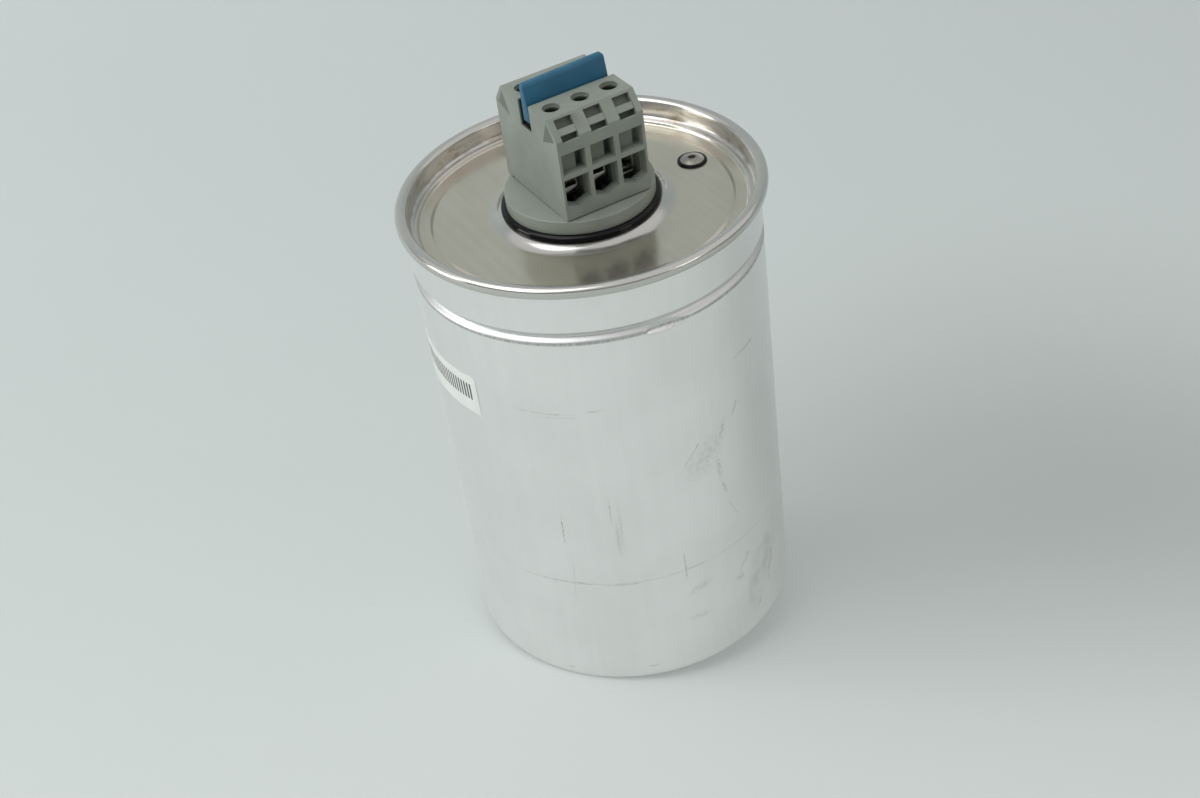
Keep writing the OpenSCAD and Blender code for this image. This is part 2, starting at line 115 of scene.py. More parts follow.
class Graph:
    """Adds nodes and links to one node tree."""

    def __init__(self, tree: Tree) -> None:
        """Keep the tree."""
        self.tree = tree

    def feed(self, socket: Socket, value: Feed) -> None:
        """Link another socket to an input, or set a plain value on it."""
        if isinstance(value, Socket):
            self.tree.links.new(value, socket)
        else:
            socket.default_value = value

    def node(self, kind: str, inputs: dict[int | str, Feed] | None = None, **settings: Any) -> Node:
        """Add a node.

        Args:
            kind: Blender's name of the node type.
            inputs: Values or sockets for its inputs, by name or number.
            settings: Properties of the node itself.

        Returns:
            The new node.
        """
        node = self.tree.nodes.new(kind)
        for key, value in settings.items():
            setattr(node, key, value)
        for key, value in (inputs or {}).items():
            self.feed(node.inputs[key], value)
        return node

    def find(self, kind: str) -> Node:
        """Return the first node of a type."""
        return next(node for node in self.tree.nodes if node.type == kind)

    def math(self, operation: str, a: Feed, b: Feed = 0.0, c: Feed = 0.0) -> Socket:
        """Return the result of a Math node."""
        return self.node("ShaderNodeMath", {0: a, 1: b, 2: c}, operation=operation).outputs[0]

    def fold(self, operation: str, *feeds: Feed) -> Socket:
        """Return the result of Math nodes that take in some values one after the other."""
        return reduce(lambda a, b: self.math(operation, a, b), feeds)

    times = partialmethod(fold, "MULTIPLY")
    most = partialmethod(fold, "MAXIMUM")
    least = partialmethod(fold, "MINIMUM")
    less = partialmethod(fold, "SUBTRACT")

    def blend(self, base: Feed, feeds: Sequence[Feed], shares: Sequence[float]) -> Socket:
        """Return a base value with a share of each feed added."""
        for feed, share in zip(feeds, shares, strict=True):
            base = self.math("MULTIPLY_ADD", feed, share, base)
        return base

    def reach(self, a: Feed, b: Feed) -> Socket:
        """Return the length of a flat vector."""
        return self.math("SQRT", self.math("MULTIPLY_ADD", a, a, self.times(b, b)))

    def remap(self, value: Feed, ends: Sequence[float], to: Sequence[float] = FULL) -> Socket:
        """Return a value taken smoothly from one range to another and held at its ends."""
        inputs = {"Value": value, "From Min": ends[0], "From Max": ends[1], "To Min": to[0], "To Max": to[1]}
        return self.node("ShaderNodeMapRange", inputs, interpolation_type="SMOOTHSTEP").outputs["Result"]

    def fade(self, value: Feed, ends: Sequence[float]) -> Socket:
        """Return 1 below a range and 0 above it, with a smooth way between."""
        return self.remap(value, ends, FALLING)

    def mix(self, factor: Feed, a: Feed, b: Feed) -> Socket:
        """Return the mix of two colours."""
        return self.node("ShaderNodeMix", {0: factor, 6: a, 7: b}, data_type="RGBA").outputs[2]

    def either(self, factor: Feed, a: Socket, b: Socket) -> Socket:
        """Return the mix of two shaders."""
        return self.node("ShaderNodeMixShader", {0: factor, 1: a, 2: b}).outputs[0]

    def noise(self, vector: Feed, scale: Feed, detail: float, roughness: float = 0.5) -> Socket:
        """Return a noise value from 0 to 1."""
        inputs = {"Vector": vector, "Scale": scale, "Detail": detail, "Roughness": roughness}
        return self.node("ShaderNodeTexNoise", inputs).outputs[0]

    def stretched(self, vector: Feed, scale: Triple, turn: float = 0.0) -> Socket:
        """Return a vector scaled along its axes after a turn about Z."""
        inputs = {"Vector": vector, "Rotation": (0.0, 0.0, turn), "Scale": scale}
        return self.node("ShaderNodeMapping", inputs).outputs[0]

    def axes(self, vector: Feed) -> Sequence[Socket]:
        """Return the three parts of a vector."""
        return self.node("ShaderNodeSeparateXYZ", {0: vector}).outputs

    def vector(self, operation: str, a: Feed, b: Feed, output: str = "Vector") -> Socket:
        """Return the result of a Vector Math node."""
        return self.node("ShaderNodeVectorMath", {0: a, 1: b}, operation=operation).outputs[output]

    def bump(self, height: Feed, strength: float, distance: float = GRAIN_HEIGHT) -> Socket:
        """Return the normal of a bump of a height in metres."""
        inputs = {"Height": height, "Strength": strength, "Distance": distance}
        return self.node("ShaderNodeBump", inputs).outputs[0]

    def effect(self, tree: Tree, *feeds: Feed) -> list[Socket]:
        """Place a shared effect and return its outputs."""
        return list(self.node("ShaderNodeGroup", dict(enumerate(feeds)), node_tree=tree).outputs)


class Effects:
    """Shader node groups that several finishes share, each made once."""

    EVEN = (0.3, 0.7)
    BANDED = (0.35, 0.65)
    SPECKED = (0.3, 0.72)
    CORE = (0.15, 1.0)
    BAND_SCALE = 0.3

    @staticmethod
    def start(name: str, inputs: dict[str, Feed], outputs: Sequence[str]) -> tuple[Graph, list[Socket], Any]:
        """Open a new group.

        Args:
            name: Name of the group.
            inputs: Default value of each input by its name, a number or a vector.
            outputs: Names of the outputs, which are all values.

        Returns:
            The group's graph, what comes into it, and the inputs of its output node.
        """
        tree = bpy.data.node_groups.new(name, "ShaderNodeTree")
        for label, default in inputs.items():
            kind = "NodeSocketFloat" if isinstance(default, float) else "NodeSocketVector"
            tree.interface.new_socket(label, in_out="INPUT", socket_type=kind).default_value = default
        for label in outputs:
            tree.interface.new_socket(label, in_out="OUTPUT", socket_type="NodeSocketFloat")
        graph = Graph(tree)
        given = graph.node("NodeGroupInput").outputs[:len(inputs)]
        return graph, given, graph.node("NodeGroupOutput").inputs

    @staticmethod
    @cache
    def grain() -> Tree:
        """Return the group for fine surface grain with slow blotches."""
        inputs = {"Vector": ORIGIN, "Fine": 4000.0, "Slow": 60.0}
        graph, (vector, fine, slow), made = Effects.start("surface_grain", inputs, ("Grain", "Blotch"))
        graph.feed(made[0], graph.noise(vector, fine, 2.0))
        graph.feed(made[1], graph.remap(graph.noise(vector, slow, 4.0), Effects.EVEN))
        return graph.tree

    @staticmethod
    @cache
    def streaks() -> Tree:
        """Return the group for fine parallel lines, as rolling and drawing leave on sheet metal."""
        inputs = {"Vector": ORIGIN, "Scale": 300.0}
        graph, (vector, scale), made = Effects.start("drawn_streaks", inputs, ("Lines", "Bands"))
        wide = graph.noise(vector, graph.times(scale, Effects.BAND_SCALE), 3.0)
        graph.feed(made[0], graph.remap(graph.noise(vector, scale, 5.0), Effects.EVEN))
        graph.feed(made[1], graph.remap(wide, Effects.BANDED))
        return graph.tree

    @staticmethod
    @cache
    def rub() -> Tree:
        """Return the group for one rubbed patch: a soft oval on flat coordinates, broken up by noise."""
        inputs = {"Place": ORIGIN, "Centre": ORIGIN, "Turn": 0.0, "Half Length": 0.01, "Half Width": 0.001,
                  "Break Up": 400.0, "Strength": 1.0}
        graph, given, made = Effects.start("rubbed_patch", inputs, ("Mask",))
        place, centre, turn, length, width, break_up, strength = given
        moved = {"Vector": graph.vector("SUBTRACT", place, centre), "Angle": turn}
        turned = graph.node("ShaderNodeVectorRotate", moved, rotation_type="Z_AXIS").outputs[0]
        x, y, _ = graph.axes(turned)
        oval = graph.reach(graph.math("DIVIDE", x, length), graph.math("DIVIDE", y, width))
        specks = graph.remap(graph.noise(turned, break_up, 2.0), Effects.SPECKED)
        graph.feed(made[0], graph.times(graph.fade(oval, Effects.CORE), specks, strength))
        return graph.tree


@dataclass(frozen=True)
class Finish:
    """A finish that can make its material."""

    name: str

    def make(self) -> Material:
        """Return a new material with this finish."""
        material = bpy.data.materials.new(self.name)
        material.use_nodes = True
        graph = Graph(material.node_tree)
        place = graph.node("ShaderNodeTexCoord").outputs["Object"]
        for label, feed in self.inputs(graph, place).items():
            graph.feed(graph.find("BSDF_PRINCIPLED").inputs[label], feed)
        return material

    def inputs(self, graph: Graph, place: Feed) -> dict[str, Feed]:
        """Return what the main shader takes.

        Args:
            graph: The material's graph.
            place: Its object coordinates.

        Returns:
            Values or sockets by the names of the shader's inputs.
        """
        raise NotImplementedError


@dataclass(frozen=True)
class Mark:
    """A rubbed or dirty patch on the can's side, at an angle from the front."""

    angle: float
    height: float
    half_length: float
    half_width: float
    turn: float
    strength: float
    break_up: float


CAN_MARKS = tuple(Mark(*row) for row in (
    (-20, 55.6, 130, 0.5, 0, 0.3, 90), (-50, 55.9, 18, 0.6, 0.5, 0.55, 250),
    (-30, 55, 12, 0.6, -1, 0.5, 350), (-48, 84, 10, 0.45, 90, 0.85, 420),
    (-46.8, 58, 16, 0.24, 86, 0.4, 260), (-31.2, 94, 9, 0.5, 90, 0.5, 600),
    (-29.8, 80, 13, 1.5, 90, 0.34, 1400), (-28.4, 86, 17, 1, 90, 0.24, 1000),
    (-8.6, 57, 10, 0.45, 91, 0.9, 260), (3, 108, 17, 9, 48, 0.2, 420),
    (-1.5, 112.5, 10, 0.6, 50, 0.5, 450), (17, 122, 5, 1, 62, 0.5, 600),
    (10.5, 116, 6.5, 1.7, 75, 0.38, 700), (8, 99, 9, 1.8, 96, 0.32, 800),
    (9.5, 88, 5.5, 1.1, 110, 0.42, 900), (12.5, 75, 8, 0.5, 115, 0.34, 500),
    (-48, 142.6, 17, 0.45, -1.5, 0.42, 300), (-43, 140.9, 13, 0.4, 1, 0.34, 300),
    (-31.5, 143.6, 4.5, 0.5, 3, 0.6, 400), (25, 144.6, 11, 0.9, 4, 0.5, 350),
    (25, 32, 30, 13, 62, 0.2, 140), (16, 43, 9, 1.3, 50, 0.32, 500),
    (13, 36, 4, 2.5, 0, 0.28, 700), (22, 13, 3, 1.2, 70, 0.5, 800),
    (-4, 43.5, 8, 3, 20, 0.24, 600), (-5, 28, 7, 2, 0, 0.22, 600),
    (31, 28, 14, 2.5, 75, 0.32, 300), (-3.6, 173.6, 6, 1.3, 4, 0.36, 1300),
    (-54, 5.2, 2.5, 0.6, 0, 0.6, 900), (-24, 7, 3, 0.6, 0, 0.6, 900),
    (110, 90, 18, 7, 70, 0.22, 420), (150, 130, 20, 0.6, 3, 0.4, 300),
    (-140, 60, 16, 6, 110, 0.2, 400), (-165, 110, 12, 0.5, 88, 0.5, 600),
))


@dataclass(frozen=True)
class DrawnAluminium(Finish):
    """Satin drawn aluminium with upright streaks, scuffs and dirt."""

    metal: Rgba = srgb(244, 243, 242)
    dull: Rgba = srgb(234, 233, 232)
    dirt: Rgba = srgb(128, 128, 123)
    lip_tone: Rgba = srgb(146, 154, 154)
    roughness: float = 0.33
    drawn_way: Triple = (1.0, 1.0, 0.03)
    drawn_scale: float = 900.0
    hatch_way: Triple = (1.0, 1.0, 0.1)
    hatch_scale: float = 1700.0
    grain_scales: Pair = (2500.0, 28.0)
    worn_shares: Pair = (0.5, 0.16)
    rough_shares: tuple[float, ...] = (0.05, 0.05, 0.2, 0.04)
    bump_shares: Pair = (0.3, 0.7)
    bump: float = 0.1
    can_r: float = 68.0
    lip_z: Pair = (174.4, 177.2)
    lip_soft: float = 0.8
    lip_share: float = 0.36
    scuff_z: Pair = (174.6, 175.3)
    scuff_least: float = 0.12
    scuff_share: float = 0.5
    marks: tuple[Mark, ...] = ()

    def inputs(self, graph: Graph, place: Feed) -> dict[str, Feed]:
        """Return what the can's shader takes."""
        drawn = graph.stretched(place, self.drawn_way)
        lines, bands = graph.effect(Effects.streaks(), drawn, self.drawn_scale)
        grain, blotch = graph.effect(Effects.grain(), place, *self.grain_scales)
        lip, scuff = self.rubbed_lip(graph, place)
        soiled = graph.most(self.dirt_mask(graph, place), scuff)
        worn = graph.blend(0.0, (blotch, bands), self.worn_shares)
        sheet = graph.mix(worn, self.metal, self.dull)
        clean = graph.mix(graph.times(lip, self.lip_share), sheet, self.lip_tone)
        height = graph.blend(0.0, (grain, lines), self.bump_shares)
        return {
            "Base Color": graph.mix(soiled, clean, self.dirt),
            "Metallic": 1.0,
            "Roughness": graph.blend(self.roughness, (lines, blotch, soiled, lip), self.rough_shares),
            "Normal": graph.bump(height, self.bump),
        }

    def rubbed_lip(self, graph: Graph, place: Feed) -> tuple[Socket, Socket]:
        """Return where the groove's lower lip is dulled, and where its edge is scuffed across."""
        z = graph.axes(place)[2]
        low, high = self.lip_z
        above = graph.remap(z, metres(low - self.lip_soft, low))
        lip = graph.times(above, graph.fade(z, metres(high, high + self.lip_soft)))
        edge = graph.times(above, graph.fade(z, metres(*self.scuff_z)))
        hatched = graph.stretched(place, self.hatch_way)
        hatch, _ = graph.effect(Effects.streaks(), hatched, self.hatch_scale)
        scuff = graph.math("MULTIPLY_ADD", hatch, self.scuff_share, self.scuff_least)
        return lip, graph.times(edge, scuff)

    def dirt_mask(self, graph: Graph, place: Feed) -> Feed:
        """Return how dirty the can is, from marks on a flat map of its side: round from the front, and up."""
        x, y, z = graph.axes(place)
        angle = graph.math("ARCTAN2", x, graph.times(y, -1.0))
        round_it = graph.times(angle, self.can_r * MM)
        flat = graph.node("ShaderNodeCombineXYZ", {0: round_it, 1: z}).outputs[0]
        patches = []
        for mark in self.marks:
            centre = (math.radians(mark.angle) * self.can_r * MM, mark.height * MM, 0.0)
            size = metres(mark.half_length, mark.half_width)
            feeds = (flat, centre, math.radians(-mark.turn), *size, mark.break_up, mark.strength)
            patches.append(graph.effect(Effects.rub(), *feeds)[0])
        return graph.most(0.0, *patches)


@dataclass(frozen=True)
class Tinplate(Finish):
    """Bright tinned sheet with straight rolling lines. Its warm cast is a painted reflection of warm
    surroundings, and the collar and the rim are painted a darker neutral grey that tones down their
    highlights.
    """

    # The warm tint of these two tones is a painted reflection of warm surroundings.
    metal: Rgba = srgb(210, 205, 192)
    dull: Rgba = srgb(199, 194, 180)
    neutral_grey: Rgba = srgb(200, 199, 195)
    collar_r: Pair = (34.6, 36.6)
    edge_r: Pair = (62.4, 64.4)
    # A patchy brown at the foot of the rim's inner wall.
    foot_brown: Rgba = srgb(140, 116, 78)
    foot_brown_in_r: Pair = (64.9, 65.9)
    foot_brown_out_r: Pair = (66.5, 66.9)
    foot_brown_z: Pair = (197.2, 199.0)
    foot_brown_way: Triple = (1.0, 1.0, 3.0)
    foot_brown_noise: Triple = (120.0, 5.0, 0.65)
    foot_brown_range: Pair = (0.46, 0.66)
    foot_brown_share: float = 0.6
    roughness: float = 0.15
    metallic: float = 0.88
    rolled_way: Triple = (1.0, 0.02, 1.0)
    rolled_turn: float = 20.0
    rolled_scale: float = 1400.0
    grain_scales: Pair = (3000.0, 45.0)
    worn_shares: Pair = (0.3, 0.5)
    rough_shares: Pair = (0.06, 0.04)
    bump: float = 0.014

    def inputs(self, graph: Graph, place: Feed) -> dict[str, Feed]:
        """Return what the lid's shader takes."""
        rolled = graph.stretched(place, self.rolled_way, math.radians(self.rolled_turn))
        lines, bands = graph.effect(Effects.streaks(), rolled, self.rolled_scale)
        _, blotch = graph.effect(Effects.grain(), place, *self.grain_scales)
        x, y, z = graph.axes(place)
        reach = graph.reach(x, y)
        worn = graph.blend(0.0, (bands, blotch), self.worn_shares)
        sheet = graph.mix(self.neutral_zones(graph, reach), graph.mix(worn, self.metal, self.dull), self.neutral_grey)
        return {
            "Base Color": graph.mix(self.browned_foot(graph, place, reach, z), sheet, self.foot_brown),
            "Metallic": self.metallic,
            "Roughness": graph.blend(self.roughness, (blotch, lines), self.rough_shares),
            "Normal": graph.bump(lines, self.bump),
        }

    def neutral_zones(self, graph: Graph, reach: Feed) -> Socket:
        """Return the collar and the rim, which are painted a darker neutral grey without the warm cast, to
        tone down their highlights.
        """
        collar = graph.fade(reach, metres(*self.collar_r))
        return graph.math("ADD", collar, graph.remap(reach, metres(*self.edge_r)))

    def browned_foot(self, graph: Graph, place: Feed, reach: Feed, z: Feed) -> Socket:
        """Return where the foot of the rim's inner wall is painted a patchy brown."""
        inside = graph.remap(reach, metres(*self.foot_brown_in_r))
        outside = graph.fade(reach, metres(*self.foot_brown_out_r))
        low = graph.fade(z, metres(*self.foot_brown_z))
        noise = graph.noise(graph.stretched(place, self.foot_brown_way), *self.foot_brown_noise)
        return graph.times(inside, outside, low, graph.remap(noise, self.foot_brown_range), self.foot_brown_share)


@dataclass(frozen=True)
class Grained(Finish):
    """A finish with a fine grain and slow blotches. Its roughness is that of its smoothest spots."""

    colour: Rgba
    shade: Rgba
    roughness: float
    shade_share: float = 1.0
    rough_shares: Pair = (0.0, 0.1)
    grain_scales: Pair = (3000.0, 120.0)
    bump: float = 0.08
    bump_height: float = GRAIN_HEIGHT
    metallic: float = 0.0
    specular: float = 0.5

    def inputs(self, graph: Graph, place: Feed) -> dict[str, Feed]:
        """Return what the main shader takes."""
        grain, blotch = graph.effect(Effects.grain(), place, *self.grain_scales)
        clean = graph.mix(graph.times(blotch, self.shade_share), self.colour, self.shade)
        return {
            "Base Color": self.covered(graph, place, clean),
            "Metallic": self.metallic,
            "Roughness": graph.blend(self.roughness, (grain, blotch), self.rough_shares),
            "Specular IOR Level": self.specular,
            "Normal": graph.bump(grain, self.bump, self.bump_height),
        }

    def covered(self, graph: Graph, place: Feed, tone: Feed) -> Feed:
        """Return the tone with what covers it, which is nothing on a plain surface."""
        return tone


@dataclass(frozen=True)
class MouldedPlastic(Grained):
    """Moulded thermoplastic."""

    colour: Rgba = srgb(136, 143, 134)
    shade: Rgba = srgb(130, 137, 128)
    roughness: float = 0.38
    rough_shares: Pair = (0.08, 0.08)
    grain_scales: Pair = (5200.0, 90.0)
    bump: float = 0.25
    bump_height: float = 0.00003


@dataclass(frozen=True)
class HollowPlastic(MouldedPlastic):
    """The block's plastic, with painted shade in its hollows and windows, and painted black shadow in its
    holes, its slot and the gap at its foot.
    """

    half_w: float = 18.0
    half_d: float = 23.0
    top_z: float = 241.0
    slope_run: float = 5.6
    slope_fall: float = 7.0
    slot_half: float = 4.0
    pitch: float = 12.0
    hole_y: float = 10.4
    hole_r: float = 3.5
    sill_z: float = 218.0
    foot_z: float = 201.6
    # Painted shade in the hollows: its colour, the depths over which it grows, and its shares below and above
    # the sill.
    recess_shade: Rgba = srgb(62, 64, 58)
    recess_shade_depth: Pair = (0.5, 6.5)
    recess_shade_shares: Pair = (0.5, 0.8)
    sill_soft: float = 1.0
    window_depth: Pair = (0.8, 2.4)
    window_shade_shares: Pair = (0.0, 0.62)
    # Colour and share of the painted black shadow in the screw holes, the plate's slot and the gap at the
    # foot.
    black: Rgba = srgb(18, 18, 17)
    black_share: float = 0.92
    wall_soft: float = 0.2
    slot_depth: Pair = (0.2, 1.0)
    foot_soft: float = 0.1
    foot_depth: Pair = (0.2, 0.6)

    def covered(self, graph: Graph, place: Feed, tone: Feed) -> Feed:
        """Return the tone with painted shade, darker with the depth below the block's outer faces, and
        painted black shadow in the holes, the slot and the gap at the foot.
        """
        x, y, z = graph.axes(place)
        along = graph.math("ABSOLUTE", y)
        side = graph.less(self.half_w * MM, graph.math("ABSOLUTE", x))
        face = graph.less(self.half_d * MM, along)
        over = graph.less(self.top_z * MM, z)
        slant = math.hypot(self.slope_run, self.slope_fall)
        under = graph.times(graph.less(over, self.slope_fall * MM), self.slope_run / slant)
        slope = graph.math("MULTIPLY_ADD", face, self.slope_fall / slant, under)
        depth = graph.least(side, face, over, slope)

        # Painted shade: darker with the depth in the hollows and behind the sloped face in the windows, with
        # a larger share above the sill.
        share = graph.remap(z, metres(self.sill_z, self.sill_z + self.sill_soft), self.recess_shade_shares)
        hollow_shade = graph.times(graph.remap(depth, metres(*self.recess_shade_depth)), share)
        in_slope = graph.math("LESS_THAN", slope, graph.least(face, over))
        window_shade = graph.times(in_slope, graph.remap(slope, metres(*self.window_depth), self.window_shade_shares))
        dusty = graph.mix(graph.most(hollow_shade, window_shade), tone, self.recess_shade)

        # Painted black shadow deep in the screw holes, in the plate's slot and in the gap at the block's
        # foot.
        off_x = graph.math("WRAP", x, self.pitch / 2 * MM, -self.pitch / 2 * MM)
        reach = graph.reach(off_x, graph.less(along, self.hole_y * MM))
        in_hole = graph.fade(reach, metres(self.hole_r, self.hole_r + self.wall_soft))
        hole = graph.times(in_hole, graph.remap(over, metres(*self.window_depth)))
        in_slot = graph.fade(along, metres(self.slot_half, self.slot_half + self.wall_soft))
        slot = graph.times(in_slot, graph.remap(graph.least(side, over), metres(*self.slot_depth)))
        at_foot = graph.fade(z, metres(self.foot_z, self.foot_z + self.foot_soft))
        foot = graph.times(at_foot, graph.remap(depth, metres(*self.foot_depth)))
        return graph.mix(graph.times(graph.most(hole, slot, foot), self.black_share), dusty, self.black)


@dataclass(frozen=True)
class BlackRubber(Grained):
    """Smooth black rubber, slightly glossy and dusty."""

    colour: Rgba = srgb(10, 10, 11)
    shade: Rgba = srgb(20, 20, 20)
    roughness: float = 0.05
    shade_share: float = 0.3
    rough_shares: Pair = (0.0, 0.12)
    grain_scales: Pair = (6000.0, 160.0)
    specular: float = 0.2


@dataclass(frozen=True)
class NickelPlate(Grained):
    """Nickel plated metal with duller patches."""

    colour: Rgba = srgb(226, 227, 223)
    shade: Rgba = srgb(196, 195, 189)
    roughness: float = 0.11
    rough_shares: Pair = (0.0, 0.14)
    grain_scales: Pair = (5000.0, 220.0)
    metallic: float = 1.0


@dataclass(frozen=True)
class StripedFilm(Grained):
    """White label film with a plain field of even stripes."""

    colour: Rgba = srgb(230, 231, 227)
    shade: Rgba = srgb(212, 214, 209)
    roughness: float = 0.3
    shade_share: float = 0.25
    ink: Rgba = srgb(32, 34, 36)
    pitch: float = 1.7
    ink_share: float = 0.5
    field_u: Pair = (3.0, 42.0)
    field_v: Pair = (6.2, 13.6)

    def covered(self, graph: Graph, place: Feed, tone: Feed) -> Feed:
        """Return the tone with the ink of the stripes, from the label's own flat map in millimetres."""
        u, v, _ = graph.axes(graph.node("ShaderNodeUVMap", uv_map=FLAT_MAP).outputs[0])
        phase = graph.math("FRACT", graph.math("DIVIDE", u, self.pitch))
        inked = [graph.math("LESS_THAN", phase, self.ink_share)]
        for axis, (low, high) in ((u, self.field_u), (v, self.field_v)):
            inked += [graph.math("GREATER_THAN", axis, low), graph.math("LESS_THAN", axis, high)]
        return graph.mix(graph.times(*inked), tone, self.ink)


@dataclass(frozen=True)
class PaleSweep(Finish):
    """Pale paper sweep under the object, clear from below and with some light of its own, which carries a
    painted light falloff and a painted shadow of the object.
    """

    room: Matrix = field(default_factory=Matrix)
    colour: Rgba = srgb(199, 207, 205)
    uneven: Rgba = srgb(197, 205, 203)
    grain_scales: Pair = (900.0, 3.0)
    roughness: float = 0.7
    # Painted light falloff from the viewer's side to the back, and a painted shadow of the object at the
    # right.
    near: Rgba = srgb(217, 223, 220)
    far: Rgba = srgb(187, 195, 197)
    dim: Rgba = srgb(62, 58, 48)
    reach: Pair = (-0.15, 0.55)
    dim_at: Pair = (0.25, 0.12)
    dim_r: Pair = (0.35, 0.3)
    dim_share: float = 0.8
    own_light: float = 0.3

    def inputs(self, graph: Graph, place: Feed) -> dict[str, Feed]:
        """Return what the paper's shader takes."""
        _, blotch = graph.effect(Effects.grain(), place, *self.grain_scales)
        return {"Base Color": graph.mix(blotch, self.colour, self.uneven), "Roughness": self.roughness}

    def make(self) -> Material:
        """Return the paper's material with its own light, which only the viewer and mirrors see."""
        material = super().make()
        graph = Graph(material.node_tree)
        tone = self.glow(graph, graph.find("TEX_COORD").outputs["Object"])
        glow = graph.node("ShaderNodeEmission", {"Color": tone}).outputs[0]
        path = graph.node("ShaderNodeLightPath").outputs
        seen = graph.most(*(path[f"Is {kind} Ray"] for kind in ("Camera", "Glossy", "Transmission")))
        paper = graph.find("BSDF_PRINCIPLED").outputs[0]
        lit = graph.either(graph.times(seen, self.own_light), paper, glow)
        clear = graph.node("ShaderNodeBsdfTransparent").outputs[0]
        under = graph.node("ShaderNodeNewGeometry").outputs["Backfacing"]
        graph.feed(graph.find("OUTPUT_MATERIAL").inputs["Surface"], graph.either(under, lit, clear))
        return material

    def glow(self, graph: Graph, place: Feed) -> Socket:
        """Return the paper's own tone in the room's frame, with a painted light falloff from the viewer's
        side to the back and a painted shadow of the object at the right.
        """
        moved = graph.vector("SUBTRACT", place, self.room.translation)
        ways = self.room.to_3x3().col
        x, y = (graph.vector("DOT_PRODUCT", moved, ways[i], "Value") for i in (0, 1))
        off_x, off_y = (
            graph.math("DIVIDE", graph.less(axis, centre), radius)
            for axis, centre, radius in zip((x, y), self.dim_at, self.dim_r)
        )
        patch = graph.remap(graph.reach(off_x, off_y), FULL, (self.dim_share, 0.0))
        return graph.mix(patch, graph.mix(graph.remap(y, self.reach), self.near, self.far), self.dim)


@dataclass(frozen=True)
class Corner:
    """A point of a spun profile, with the radius of its rounding and the faces across it."""

    r: float
    z: float
    round_r: float = 0.0
    segments: int = 5


Profile = tuple[Corner, ...]


def outline(**corners: tuple[float, ...]) -> Profile:
    """Return a profile from its named corners, in their order."""
    return tuple(Corner(*corner) for corner in corners.values())


